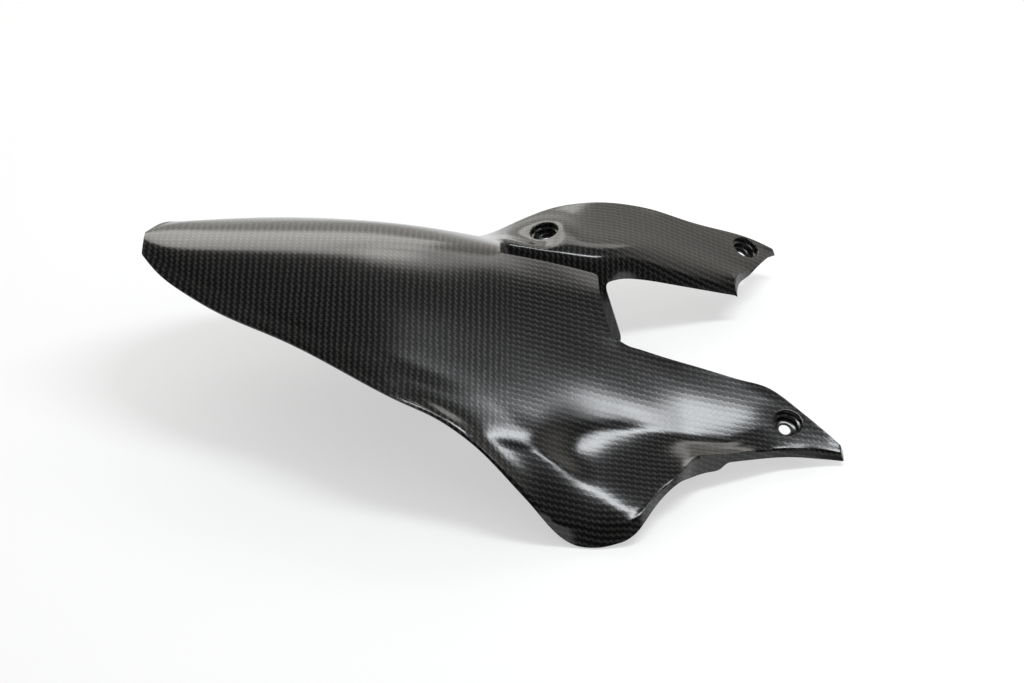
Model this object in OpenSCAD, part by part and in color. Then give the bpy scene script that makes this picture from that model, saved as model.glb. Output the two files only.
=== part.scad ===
// Motorcycle rear fender: one moulded carbon shell with a tyre cover, side flaps and two bolted arms.
// X points to the bike's front, Y to its left and Z up. The origin is in the near arm's bolt hole.

/* [Laminate] */
// Thickness of the moulded shell
shell_t = 1.6; // [1.2:0.1:2]
// Height of the turned-down rim round the arms
rim_h = 5.5; // [4:0.5:7]
// How far the rim leans outwards over its height
rim_draft = 2; // [1.8:0.1:2.6]

/* [Bolt seats] */
// Radius of each bolt hole
bolt_r = 4; // [2.5:0.25:5]
// Radius of the recess that takes the bolt's head
recess_r = 10; // [8:0.5:10.5]
// Depth of the recess from the surface to its floor
recess_depth = 7.5; // [6:0.5:10]
// Width of the ledge inside the recess
ledge_w = 2; // [1:0.25:3]
// Depth of the ledge below the surface
ledge_depth = 3.5; // [2.5:0.5:4.5]
// Radius of the flat pad moulded round each recess
pad_r = 13; // [12:0.5:15]

/* [Tyre cover] */
// Height of the crown over the shell's lowest edge
crown_z = 109; // [100:1:116]
// Where the crown is cut for the slot, across the fender
cut_y = 12; // [6:1:16]
// Where the slot starts, along the fender
slot_x = -8; // [-12:1:-4]
// Where the crown's tongue ends, along the fender
tongue_x = 57; // [54:1:60]

/* [Hidden] */
$fn = 64;

// Bolt seats: centre on the surface, then the surface's slope along X and along Y
near_seat = [[179, -72, 21], -0.18, 0.35];
rear_seat = [[22, 80, 72], 0.20, 0.02];
front_seat = [[166.5, 123, 30.8], -0.42, 0.15];
seats = [near_seat, rear_seat, front_seat];
pad_blend = 9;

// Guide curves over the top surface, from the far edge to the near edge, each with points x, y, z
far_edge = [[-242, 22, 108], [-233, 40, 104.7], [-223, 51, 98], [-203, 66, 89.2], [-138, 86, 73], [-72, 90, 62],
    [-35, 93, 57], [-17, 98, 58], [7, 106.5, 65], [25, 114, 68.5], [43, 119.5, 69.5], [62, 122.5, 69],
    [80, 124.7, 66], [99, 126, 61], [124, 128, 50], [156, 134, 36], [180, 134, 27], [187, 131, 25]];
far_middle = [[-242, 18.5, 108.6], [-233, 30, 107.4], [-203, 48, 101.2], [-138, 66, 92], [-72, 66, 85],
    [-8, 74, 71], [22, 82, 72], [43, 86, 71], [62, 88, 68.5], [80, 94, 64.5], [99, 98, 58.5],
    [124, 101, 45.5], [156, 106, 31], [187, 110, 17]];
ridge = [[-242, 15.5, 108.7], [-233, 21, 108.7], [-203, 31, 107.2], [-138, 46, 102.7], [-72, 44, 100.3],
    [-21, 50, 86.5], [-8, 52, 82], [2, 53, 78.5], [18, 54, 75], [38, 53, 71], [58, 54, 67.5],
    [78, 64, 62.5], [91, 68, 57], [103, 70, 50], [128, 74.5, 37.5], [156, 80, 26]];
wall_foot = [[-8, 50, 72], [2, 47, 62], [18, 46, 57], [38, 45, 54.5], [63, 45, 52], [73, 54.5, 49],
    [91, 61, 44], [110, 66, 37], [128, 71, 30], [156, 77.5, 20]];
skirt_foot = [[-8, 36, 72], [2, 42, 48], [12, 44, 28], [28, 46, 10], [45, 46, 3], [63, 44, 2]];
cut_line = [[-242, 13.5, crown_z - 0.4], [-233, cut_y, crown_z], [-203, cut_y, crown_z + 0.5],
    [-138, cut_y, crown_z + 0.3], [-72, cut_y, crown_z - 1], [-8, cut_y, crown_z - 11],
    [25, cut_y, crown_z - 18.5], [66, cut_y, crown_z - 30.7]];
crown_roll = [[-242, 11.5, 108.3], [-233, 4, 108.9], [-203, -1, 109.6], [-138, -8, 108.5], [-72, -12, 107.5],
    [-8, -16, 93.5], [25, -14, 85.5], [66, -11, 73.3]];
shoulder = [[-242, 10, 108], [-233, -1, 107.8], [-203, -11.5, 107.7], [-138, -26, 103.3], [-72, -39, 103],
    [-8, -40, 86.5], [25, -38, 77.5], [41, -37, 71.5], [57, -35, 67], [65, -35.5, 65], [74, -39.5, 60],
    [84, -40, 56.5], [97, -41, 52], [123, -43.5, 44.5], [149, -46.5, 37], [170, -48.5, 31],
    [188, -62, 23], [206, -76, 14], [213, -82, 10.3]];
flank = [[-242, 8.5, 107.7], [-233, -5, 106.3], [-203, -21, 104.7], [-138, -40.5, 97.7], [-72, -68, 93], [-8, -72, 75],
    [25, -74, 64], [41, -72, 58.5], [57, -66, 55.5], [83, -64, 47], [97, -64.5, 43], [123, -66, 35.5],
    [149, -67, 28.5], [160, -62, 27.5], [170, -58, 26.5], [188, -67.5, 20.5], [206, -78, 13.1],
    [213, -83, 9.9]];
crease = [[-242, 7, 107.3], [-233, -7.5, 105.2], [-203, -28.5, 101.8], [-138, -54, 92.7], [-72, -92, 84.6],
    [-8, -104, 63], [15, -113, 52], [38, -102, 45], [57, -95, 42], [67, -92, 40], [83, -89.5, 36.5],
    [97, -88, 33], [114, -87, 27.5], [123, -88, 25.5], [141, -88, 21], [155, -79, 22], [170, -67, 22.5],
    [188, -73, 18], [206, -80, 12.2], [213, -84, 9.5]];
crease_foot = [[-242, 6, 107], [-233, -9, 104.5], [-203, -32.5, 100.2], [-138, -60.5, 90], [-72, -99.5, 81.8],
    [-8, -115, 58.5], [15, -121, 48.5], [38, -110, 40], [57, -103, 37], [67, -100, 34.5], [83, -98, 31.5],
    [97, -96.5, 28.5], [114, -95, 24.5], [123, -94, 23.3], [141, -92, 20], [155, -84, 20.8],
    [170, -73.5, 20.3], [188, -77, 16.3], [206, -81.7, 11.4], [213, -84.8, 9.2]];
channel = [[-242, 4.5, 106.7], [-233, -10.5, 104], [-203, -35.5, 99.2], [-138, -66, 88.5], [-72, -106.5, 79.8],
    [-8, -128, 53.5], [15, -127, 45.5], [38, -124, 33], [57, -122, 29], [67, -122, 27], [83, -118, 26.5],
    [97, -112, 26], [106, -107, 25.8], [114, -102, 24.5], [123, -99.5, 23], [141, -96, 20],
    [155, -89, 19.8], [170, -80, 18.3], [188, -81, 14.8], [206, -83.4, 10.7], [213, -85.6, 8.9]];
flap_ridge = [[-242, 3, 106.2], [-233, -11.8, 103.5], [-203, -38, 98.4], [-138, -71, 87],
    [-72, -112.5, 77.3], [-30, -133, 62], [-14, -137, 51], [14, -133, 42.5], [30, -137.5, 35.5],
    [54, -148, 21.5], [67, -154.5, 18.8], [76, -157.5, 18], [83, -149, 19], [93, -132, 22.5],
    [106, -119.5, 24.3], [114, -109, 25], [123, -105, 23], [141, -99.5, 19.8], [155, -93.5, 18.8],
    [170, -86, 16.5], [188, -85, 13.4], [206, -85.2, 10], [213, -86.3, 8.6]];
lip_crease = [[-242, 1.5, 105.8], [-233, -12.6, 103.2], [-203, -40, 97.5], [-138, -73.5, 86.1],
    [-72, -117, 76.1], [-45, -128, 68.5], [-19, -140.5, 53], [0, -153, 38.5], [14, -161, 26],
    [24, -166.5, 17.5], [40, -167, 13], [61, -165.5, 12], [74, -165, 14.5], [80, -160, 16.5],
    [84, -154, 18], [93, -140.6, 20], [106, -127.5, 23], [112.5, -119, 25.2], [115, -114, 25.8],
    [121, -111, 24.3], [137, -105, 21], [155, -98, 18], [171, -92, 15], [188, -89, 12], [206, -87, 9.3],
    [213, -87, 8.3]];
near_edge = [[-242, -0.5, 105.2], [-233, -14, 102.5], [-203, -41.5, 96.9], [-138, -75.5, 85.3],
    [-72, -119.5, 75], [-45, -130, 67], [-19, -142, 51], [0, -155, 36], [14, -162.8, 22.5],
    [24, -167.5, 11], [32, -170, 4], [40, -172, 0.5], [48, -173, 0], [65, -171.5, 1.5], [75, -168.5, 5.5],
    [80, -165, 9], [84, -158.5, 11.5], [93, -142.8, 13.5], [106, -130.5, 18.5], [113, -120.5, 13.5],
    [120, -114, 11.8], [127, -111, 11.2], [133, -109, 10.8], [137, -107.5, 15.5], [141, -106, 16.6],
    [155, -100, 12.8], [171, -94, 9.7], [188, -91, 6.7], [206, -89, 4], [213, -89, 3]];

// Stations along the fender: the tail, the tongue beside the slot, and the arms
tail_x = [-242, -239, -235, -229, -221, -211, -200, -186, -170, -154, -138, -122, -106, -90, -75, -60, -46,
    -33, -22, -14];
near_arm_x = [70, 75, 79, 83, 88, 93, 99, 106, 110, 113, 117, 123, 128, 133, 137, 141, 148, 155, 162, 170,
    179, 188, 197, 205, 210, 213];
far_arm_x = [69, 75, 82, 90, 98, 107, 116, 125, 134, 142, 149, 156];
skirt_front_x = 63;
tongue_cells = 10;
fold_blend = [0, 0.15, 0.6, 1];
fold_x = [0, 1, 2.2, 4];
slot_col = len(tail_x);
tongue_col = slot_col + tongue_cells;
near_end = tongue_col + len(near_arm_x);
far_end = tongue_col + len(far_arm_x);
columns = near_end + 1;

// Rows across the fender: cells between neighbouring guides
rear_cells = [4, 4, 8, 3, 3, 3, 3, 2, 2, 3, 2];
far_cells = [4, 4, 3, 4];
arm_far_cells = [4, 4, 3];
near_cells = [3, 3, 3, 3, 2, 2, 3, 2];
arm_near_cells = [3, 3, 2, 2, 3, 2];
ridge_row = 9;
foot_row = 12;
skirt_row = 16;
cut_row = 17;
shoulder_row = 23;
lip_row = 38;
last_row = 39;

// Slant of the far arm's front end, and of the skirt's and tongue's front edges
far_end_slant = 31;
skirt_slant = 14;
tongue_slant = 8;

function clamp(v, lo, hi) = min(max(v, lo), hi);
function smooth(v) = let (s = clamp(v, 0, 1)) s * s * (3 - 2 * s);
function cell_of(g, x, i = 0) = (i >= len(g) - 2 || x < g[i + 1].x) ? i : cell_of(g, x, i + 1);
function slope_at(g, s, i) =
    i == 0 ? (g[1] - g[0]) / (s[1] - s[0]) :
    i == len(g) - 1 ? (g[i] - g[i - 1]) / (s[i] - s[i - 1]) :
    let (h0 = s[i] - s[i - 1], h1 = s[i + 1] - s[i])
    ((g[i] - g[i - 1]) * h1 / h0 + (g[i + 1] - g[i]) * h0 / h1) / (h0 + h1);
function curve(g, s, i, t) =
    let (h = s[i + 1] - s[i], m0 = slope_at(g, s, i) * h, m1 = slope_at(g, s, i + 1) * h, u = t * t, v = u * t)
    g[i] * (2 * v - 3 * u + 1) + m0 * (v - 2 * u + t) + g[i + 1] * (3 * u - 2 * v) + m1 * (v - u);
function on_guide(g, x) =
    let (c = clamp(x, g[0].x, g[len(g) - 1].x), i = cell_of(g, c), s = [for (p = g) p.x])
    curve(g, s, i, (c - g[i].x) / (g[i + 1].x - g[i].x));
function arc_sums(q, i = 0, a = 0) =
    i == len(q) - 1 ? [a] : concat([a], arc_sums(q, i + 1, a + norm(q[i + 1] - q[i])));
function section(guides, cells, x) =
    let (q = [for (g = guides) on_guide(g, x)], s = arc_sums(q))
    concat([for (k = [0:len(cells) - 1]) for (j = [0:cells[k] - 1]) curve(q, s, k, j / cells[k])], [q[len(q) - 1]]);

rear_guides = [far_edge, far_middle, ridge, cut_line, crown_roll, shoulder, flank, crease, crease_foot, channel,
    flap_ridge, lip_crease];
far_guides = [far_edge, far_middle, ridge, wall_foot, skirt_foot];
near_guides = [cut_line, crown_roll, shoulder, flank, crease, crease_foot, channel, flap_ridge, lip_crease];
arm_near_guides = [shoulder, flank, crease, crease_foot, channel, flap_ridge, lip_crease];

// Point of a section list, by row, where the list starts at row first
function pick(list, row, first) = list[clamp(row - first, 0, len(list) - 1)];

// Outer rim of the far edge: it follows the cover at the tail and turns down along the arm
function far_rim(p) =
    let (k = smooth((p.x + 20) / 30))
    p + [0, 2.2 + (rim_draft - 2.2) * k, -2.6 * (1 - k) - rim_h * k];

// Moves a point of the top surface onto the flat pads round the bolt seats
function pad_height(p, seat) = seat[0].z + (p.x - seat[0].x) * seat[1] + (p.y - seat[0].y) * seat[2];
function pad_weight(p, seat) =
    1 - smooth((norm([p.x - seat[0].x, p.y - seat[0].y]) - pad_r - 2) / pad_blend);
function seated(p, i = 0) =
    i == len(seats) ? p :
    let (w = pad_weight(p, seats[i]))
    seated([p.x, p.y, p.z * (1 - w) + pad_height(p, seats[i]) * w], i + 1);

// Near edge: the flap's own edge, then the rim under the arm
function near_rim(p) =
    let (k = smooth((p.x - 134) / 3), rim = p + [0, -rim_draft, -rim_h])
    (k == 1 ? rim : on_guide(near_edge, p.x) * (1 - k) + rim * k);

// Stations of the far and near halves beside the slot
function far_station(k) =
    k < 4 ? slot_x + fold_x[k] :
    slot_x + fold_x[3] + (skirt_front_x - slot_x - fold_x[3]) * (k - 3) / (tongue_cells - 3);
function near_station(k) = slot_x + (tongue_x - slot_x) * k / tongue_cells;

// One row of the far half beside the slot: the crown folds down into the wall and skirt
function far_row(r, k) =
    let (
        x = far_station(k),
        base = pick(section(far_guides, far_cells, x), r, 1),
        crown = pick(section(rear_guides, rear_cells, slot_x), r, 1) + [x - slot_x, 0, 0],
        f = (r <= ridge_row || k > 3) ? 1 : fold_blend[k],
        front = max(0, (x - 28) / (skirt_front_x - 28)),
        slant = skirt_slant * max(0, (r - foot_row) / (skirt_row - foot_row)) * front * front
    )
    base * f + crown * (1 - f) + [slant, 0, 0];

// How far the tongue's front edge runs forward at each row, down to the near arm's inner edge
function tongue_shift(r, k) =
    let (
        down = (r - cut_row) / (shoulder_row - cut_row),
        v = down <= 1 ? pow(down, 2.2) : 1 - smooth((down - 1) * 0.8),
        w = max(0, (k - 6) / (tongue_cells - 6))
    )
    tongue_slant * v * w * w;
function near_row(r, k) =
    pick(section(near_guides, near_cells, near_station(k) + tongue_shift(r, k)), r, cut_row);

function arm_far_row(r, k) =
    let (
        x = far_arm_x[k],
        reach = (x - skirt_front_x) / (far_arm_x[len(far_arm_x) - 1] - skirt_front_x),
        shift = far_end_slant * max(0, (ridge_row - r) / (ridge_row - 1)) * reach * reach
    )
    pick(section([far_edge, far_middle, ridge, wall_foot], arm_far_cells, x + shift), r, 1);

// The whole grid of the outer surface: a list of columns, each a list of rows; unused places hold the origin
unused = [0, 0, 0];
function beside_slot(k) =
    let (near = [for (r = [cut_row:lip_row]) near_row(r, k)])
    concat([for (r = [1:skirt_row]) far_row(r, k)], near);
function beside_gap(k) =
    concat(
        [for (r = [1:foot_row]) k < len(far_arm_x) ? arm_far_row(r, k) : unused],
        [for (r = [foot_row + 1:shoulder_row - 1]) unused],
        k < len(near_arm_x) ? section(arm_near_guides, arm_near_cells, near_arm_x[k]) :
            [for (r = [shoulder_row:lip_row]) unused]
    );
surface = concat(
    [for (x = tail_x) section(rear_guides, rear_cells, x)],
    [section(rear_guides, rear_cells, slot_x)],
    [for (k = [1:tongue_cells]) beside_slot(k)],
    [for (k = [0:len(near_arm_x) - 1]) beside_gap(k)]
);
pads = [for (c = surface) [for (p = c) p == unused ? p : seated(p)]];
rimmed = [for (c = pads) concat([far_rim(c[0])], c, [near_rim(c[lip_row - 1])])];

// End rims of the two arms, one column past the last station of each
far_tip = rimmed[far_end];
far_out = [0.85, -0.52, 0] * rim_draft;
near_out = [rim_draft, 0, 0];
function far_drop(r) = r == 0 ? 0 : rim_h * (1 - max(0, r - ridge_row) / (foot_row - ridge_row));
function end_point(i, r) =
    (i == far_end + 1 && r <= foot_row) ? far_tip[r] + far_out - [0, 0, far_drop(r)] :
    (i == near_end + 1 && r >= shoulder_row) ?
        rimmed[near_end][r] + near_out - [0, 0, r == last_row ? 0 : rim_h] :
    i > near_end ? unused : rimmed[i][r];
outer = [for (i = [0:columns]) [for (r = [0:last_row]) end_point(i, r)]];

// Which cells of the grid hold laminate
function laminate(i, r) =
    i >= 0 && r >= 0 && i < columns && r < last_row &&
    (i < slot_col ? true :
    i < tongue_col ? r != skirt_row :
    (r < foot_row && i <= far_end) || (r >= shoulder_row && i <= near_end));
function cell_normal(i, r) =
    let (n = cross(outer[i + 1][r] - outer[i][r + 1], outer[i + 1][r + 1] - outer[i][r])) -n / norm(n);
function around(i, r) =
    [for (c = [[i - 1, r - 1], [i - 1, r], [i, r - 1], [i, r]]) if (laminate(c[0], c[1])) cell_normal(c[0], c[1])];
function total(v, i = 0) = i == len(v) ? [0, 0, 0] : v[i] + total(v, i + 1);
function inset(i, r) =
    let (ns = around(i, r))
    len(ns) == 0 ? outer[i][r] :
    let (s = total(ns), m = s / norm(s), k = min([for (n = ns) n * m]))
    outer[i][r] - m * shell_t / max(k, 0.72);
inner = [for (i = [0:columns]) [for (r = [0:last_row]) inset(i, r)]];

row_count = last_row + 1;
layer = (columns + 1) * row_count;
function place(i, r) = i * row_count + r;
function quad(a, b, c, d) = [[a, b, c], [a, c, d]];
function cell_faces(i, r) =
    let (a = place(i, r), b = place(i + 1, r), c = place(i + 1, r + 1), d = place(i, r + 1))
    concat(
        quad(a, b, c, d),
        [[a + layer, c + layer, b + layer], [a + layer, d + layer, c + layer]],
        laminate(i, r - 1) ? [] : quad(b, a, a + layer, b + layer),
        laminate(i + 1, r) ? [] : quad(c, b, b + layer, c + layer),
        laminate(i, r + 1) ? [] : quad(d, c, c + layer, d + layer),
        laminate(i - 1, r) ? [] : quad(a, d, d + layer, a + layer)
    );

module shell() {
    polyhedron(
        points = concat([for (c = outer) for (p = c) p], [for (c = inner) for (p = c) p]),
        faces = [for (i = [0:columns - 1]) for (r = [0:last_row - 1]) if (laminate(i, r))
            for (f = cell_faces(i, r)) f]
    );
}

// Places its children on a bolt seat, with Z along the bolt and zero at the surface
module on_seat(seat) {
    translate(seat[0])
        rotate([0, 0, atan2(-seat[2], -seat[1])])
        rotate([0, atan(norm([seat[1], seat[2]])), 0])
        children();
}

module seat_cup() {
    translate([0, 0, -ledge_depth - shell_t])
        cylinder(h = ledge_depth + shell_t / 2, r = recess_r + shell_t);
    translate([0, 0, -recess_depth - shell_t])
        cylinder(h = recess_depth, r = recess_r - ledge_w + shell_t);
}

module seat_bore() {
    translate([0, 0, -ledge_depth])
        cylinder(h = ledge_depth + pad_blend, r = recess_r);
    translate([0, 0, -recess_depth])
        cylinder(h = recess_depth, r = recess_r - ledge_w);
    translate([0, 0, -recess_depth - 2 * shell_t])
        cylinder(h = recess_depth, r = bolt_r);
}

// Middle of a seat's bolt hole; the near arm's is the origin
function seat_normal(seat) = let (n = [-seat[1], -seat[2], 1]) n / norm(n);
function bolt_hole(seat) = seat[0] - seat_normal(seat) * (recess_depth + shell_t / 2);

module rear_fender() {
    color([0.06, 0.06, 0.07])
    translate(-bolt_hole(near_seat))
    difference() {
        union() {
            shell();
            for (seat = seats) on_seat(seat) seat_cup();
        }
        for (seat = seats) on_seat(seat) seat_bore();
    }
}

rear_fender();
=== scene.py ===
"""A glossy carbon-fibre motorcycle rear fender on a white studio floor."""
import bpy
import bmesh
import math
import numpy as np
from mathutils import Matrix, Vector

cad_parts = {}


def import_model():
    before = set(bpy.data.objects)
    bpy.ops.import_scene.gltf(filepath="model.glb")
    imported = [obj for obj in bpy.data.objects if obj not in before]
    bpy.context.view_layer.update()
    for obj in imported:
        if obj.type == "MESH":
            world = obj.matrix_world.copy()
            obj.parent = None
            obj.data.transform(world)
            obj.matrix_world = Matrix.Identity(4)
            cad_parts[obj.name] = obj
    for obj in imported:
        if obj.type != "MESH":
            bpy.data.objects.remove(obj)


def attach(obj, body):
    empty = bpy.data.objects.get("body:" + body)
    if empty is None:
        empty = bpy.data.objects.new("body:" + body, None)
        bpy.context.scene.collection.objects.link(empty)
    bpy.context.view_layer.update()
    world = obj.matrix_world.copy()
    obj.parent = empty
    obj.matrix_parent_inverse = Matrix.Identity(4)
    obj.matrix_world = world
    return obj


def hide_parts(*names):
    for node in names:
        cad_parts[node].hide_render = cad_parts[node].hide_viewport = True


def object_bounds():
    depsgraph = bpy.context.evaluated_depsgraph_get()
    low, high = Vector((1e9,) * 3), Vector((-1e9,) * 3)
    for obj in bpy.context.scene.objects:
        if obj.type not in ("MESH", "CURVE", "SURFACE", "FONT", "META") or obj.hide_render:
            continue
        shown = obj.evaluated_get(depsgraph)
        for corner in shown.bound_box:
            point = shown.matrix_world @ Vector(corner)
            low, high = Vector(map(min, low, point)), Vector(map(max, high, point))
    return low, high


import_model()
cad_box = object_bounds()

# Sizes of the moulding, in millimetres
SHELL_T = 1.6
RIM_H = 5.5            # rims of the arms, and their lean outwards
RIM_DRAFT = 2.0
TYRE_RIM_H = 2.6       # rim of the tyre cover's far edge
TYRE_RIM_DRAFT = 2.2
BOLT_R = 4.0
RECESS_R = 9.7
RECESS_DEPTH = 7.5
LEDGE_W = 2.0
LEDGE_DEPTH = 3.5
INSERT_R = 10.9        # outer radius of the moulded ring round each recess
PAD_R = 10.0           # plane pad round each bolt, its margin, and the way from it into the surface
PAD_MARGIN = 2.0
PAD_BLEND = 14.0
CROWN_Z = 109.0
CUT_Y = 12.0
SLOT_X = -8.0
TONGUE_X = 57.0
SKIRT_FRONT_X = 63.0
FAR_RIM_X = -20.0      # from here the far rim grows to its full height, over this length
FAR_RIM_BLEND = 30.0
NEAR_RIM_X = 134.0     # up to here the near rim follows its guide, and over this length it becomes even
NEAR_RIM_BLEND = 3.0
TONGUE_LEAN = 8.0      # how far the tongue's end leans forwards at the shoulder
TONGUE_STRAIGHT = 0.6  # share of the tongue's length that doesn't lean
TONGUE_BEND = 2.2      # power of the lean from the cut line to the shoulder, and its rate of decline beyond
TONGUE_DECLINE = 0.8
SKIRT_LEAN = 14.0      # the same for the skirt's foot, from SKIRT_LEAN_X on
SKIRT_LEAN_X = 28.0
ARM_LEAN = 31.0        # the same for the far arm's outer edge, at its end
FAR_END_OUT = np.array([0.85, -0.52, 0])    # the way in which the far arm's end rim leans
CELL = 4.0             # repeat of the weave

# Bolt seats: centre on the surface, slope along X, slope along Y
SEATS = [([179, -72, 21], -0.18, 0.35), ([22, 80, 72], 0.20, 0.02), ([166.5, 123, 30.8], -0.42, 0.15)]


def unit(v):
    v = np.asarray(v, float)
    return v / np.linalg.norm(v)


def seat_normal(seat):
    return unit([-seat[1], -seat[2], 1])


# The row's origin is in the near arm's bolt hole; the guides below are in the photographed pose
ORIGIN = np.array(SEATS[0][0], float) - seat_normal(SEATS[0]) * (RECESS_DEPTH + SHELL_T / 2)


def to_row(p):
    """From millimetres in the photographed pose to metres in the row's frame."""
    return (np.asarray(p, float) - ORIGIN) / 1000


# Guide curves over the top surface, from the tail to the front
far_edge = [[-242, 22, 108], [-233, 40, 104.7], [-223, 51, 98], [-203, 66, 89.2], [-138, 86, 73],
    [-72, 90, 62], [-35, 93, 57], [-17, 98, 58], [7, 106.5, 65], [25, 114, 68.5], [43, 119.5, 69.5],
    [62, 122.5, 69], [80, 124.7, 66], [99, 126, 61], [124, 128, 50], [156, 134, 36], [180, 134, 27],
    [187, 131, 25]]
far_middle = [[-242, 18.5, 108.6], [-233, 30, 107.4], [-203, 48, 101.2], [-138, 66, 92], [-72, 66, 85],
    [-8, 74, 71], [22, 82, 72], [43, 86, 71], [62, 88, 68.5], [80, 94, 64.5], [99, 98, 58.5],
    [124, 101, 45.5], [156, 106, 31], [187, 110, 17]]
ridge = [[-242, 15.5, 108.7], [-233, 21, 108.7], [-203, 31, 107.2], [-138, 46, 102.7], [-72, 44, 100.3],
    [-21, 50, 86.5], [-8, 52, 82], [2, 53, 78.5], [18, 54, 75], [38, 53, 71], [58, 54, 67.5],
    [78, 64, 62.5], [91, 68, 57], [103, 70, 50], [128, 74.5, 37.5], [156, 80, 26]]
wall_foot = [[-8, 50, 72], [2, 47, 62], [18, 46, 57], [38, 45, 54.5], [63, 45, 52], [73, 54.5, 49],
    [91, 61, 44], [110, 66, 37], [128, 71, 30], [156, 77.5, 20]]
skirt_foot = [[-8, 36, 72], [2, 42, 48], [12, 44, 28], [28, 46, 10], [45, 46, 3], [63, 44, 2]]
cut_line = [[-242, 13.5, CROWN_Z - 0.4], [-233, CUT_Y, CROWN_Z], [-203, CUT_Y, CROWN_Z + 0.5],
    [-138, CUT_Y, CROWN_Z + 0.3], [-72, CUT_Y, CROWN_Z - 1], [-8, CUT_Y, CROWN_Z - 11],
    [25, CUT_Y, CROWN_Z - 18.5], [66, CUT_Y, CROWN_Z - 30.7]]
crown_roll = [[-242, 11.5, 108.3], [-233, 4, 108.9], [-203, -1, 109.6], [-138, -8, 108.5], [-72, -12, 107.5],
    [-8, -16, 93.5], [25, -14, 85.5], [66, -11, 73.3]]
shoulder = [[-242, 10, 108], [-233, -1, 107.8], [-203, -11.5, 107.7], [-138, -26, 103.3], [-72, -39, 103],
    [-8, -40, 86.5], [25, -38, 77.5], [41, -37, 71.5], [57, -35, 67], [65, -35.5, 65], [74, -39.5, 60],
    [84, -40, 56.5], [97, -41, 52], [123, -43.5, 44.5], [149, -46.5, 37], [170, -48.5, 31],
    [188, -62, 23], [206, -76, 14], [213, -82, 10.3]]
flank = [[-242, 8.5, 107.7], [-233, -5, 106.3], [-203, -21, 104.7], [-138, -40.5, 97.7], [-72, -68, 93],
    [-8, -72, 75], [25, -74, 64], [41, -72, 58.5], [57, -66, 55.5], [83, -64, 47], [97, -64.5, 43],
    [123, -66, 35.5], [149, -67, 28.5], [160, -62, 27.5], [170, -58, 26.5], [188, -67.5, 20.5],
    [206, -78, 13.1], [213, -83, 9.9]]
crease = [[-242, 7, 107.3], [-233, -7.5, 105.2], [-203, -28.5, 101.8], [-138, -54, 92.7], [-72, -92, 84.6],
    [-8, -104, 63], [15, -113, 52], [38, -102, 45], [57, -95, 42], [67, -92, 40], [83, -89.5, 36.5],
    [97, -88, 33], [114, -87, 27.5], [123, -88, 25.5], [141, -88, 21], [155, -79, 22], [170, -67, 22.5],
    [188, -73, 18], [206, -80, 12.2], [213, -84, 9.5]]
crease_foot = [[-242, 6, 107], [-233, -9, 104.5], [-203, -32.5, 100.2], [-138, -60.5, 90], [-72, -99.5, 81.8],
    [-8, -115, 58.5], [15, -121, 48.5], [38, -110, 40], [57, -103, 37], [67, -100, 34.5], [83, -98, 31.5],
    [97, -96.5, 28.5], [114, -95, 24.5], [123, -94, 23.3], [141, -92, 20], [155, -84, 20.8],
    [170, -73.5, 20.3], [188, -77, 16.3], [206, -81.7, 11.4], [213, -84.8, 9.2]]
channel = [[-242, 4.5, 106.7], [-233, -10.5, 104], [-203, -35.5, 99.2], [-138, -66, 88.5],
    [-72, -106.5, 79.8], [-8, -128, 53.5], [15, -127, 45.5], [38, -124, 33], [57, -122, 29],
    [67, -122, 27], [83, -118, 26.5], [97, -112, 26], [106, -107, 25.8], [114, -102, 24.5],
    [123, -99.5, 23], [141, -96, 20], [155, -89, 19.8], [170, -80, 18.3], [188, -81, 14.8],
    [206, -83.4, 10.7], [213, -85.6, 8.9]]
flap_ridge = [[-242, 3, 106.2], [-233, -11.8, 103.5], [-203, -38, 98.4], [-138, -71, 87],
    [-72, -112.5, 77.3], [-30, -133, 62], [-14, -137, 51], [14, -133, 42.5], [30, -137.5, 35.5],
    [54, -148, 21.5], [67, -154.5, 18.8], [76, -157.5, 18], [83, -149, 19], [93, -132, 22.5],
    [106, -119.5, 24.3], [114, -109, 25], [123, -105, 23], [141, -99.5, 19.8], [155, -93.5, 18.8],
    [170, -86, 16.5], [188, -85, 13.4], [206, -85.2, 10], [213, -86.3, 8.6]]
lip_crease = [[-242, 1.5, 105.8], [-233, -12.6, 103.2], [-203, -40, 97.5], [-138, -73.5, 86.1],
    [-72, -117, 76.1], [-45, -128, 68.5], [-19, -140.5, 53], [0, -153, 38.5], [14, -161, 26],
    [24, -166.5, 17.5], [40, -167, 13], [61, -165.5, 12], [74, -165, 14.5], [80, -160, 16.5],
    [84, -154, 18], [93, -140.6, 20], [106, -127.5, 23], [112.5, -119, 25.2], [115, -114, 25.8],
    [121, -111, 24.3], [137, -105, 21], [155, -98, 18], [171, -92, 15], [188, -89, 12], [206, -87, 9.3],
    [213, -87, 8.3]]
near_edge = [[-242, -0.5, 105.2], [-233, -14, 102.5], [-203, -41.5, 96.9], [-138, -75.5, 85.3],
    [-72, -119.5, 75], [-45, -130, 67], [-19, -142, 51], [0, -155, 36], [14, -162.8, 22.5],
    [24, -167.5, 11], [32, -170, 4], [40, -172, 0.5], [48, -173, 0], [65, -171.5, 1.5], [75, -168.5, 5.5],
    [80, -165, 9], [84, -158.5, 11.5], [93, -142.8, 13.5], [106, -130.5, 18.5], [113, -120.5, 13.5],
    [120, -114, 11.8], [127, -111, 11.2], [133, -109, 10.8], [137, -107.5, 15.5], [141, -106, 16.6],
    [155, -100, 12.8], [171, -94, 9.7], [188, -91, 6.7], [206, -89, 4], [213, -89, 3]]
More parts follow.
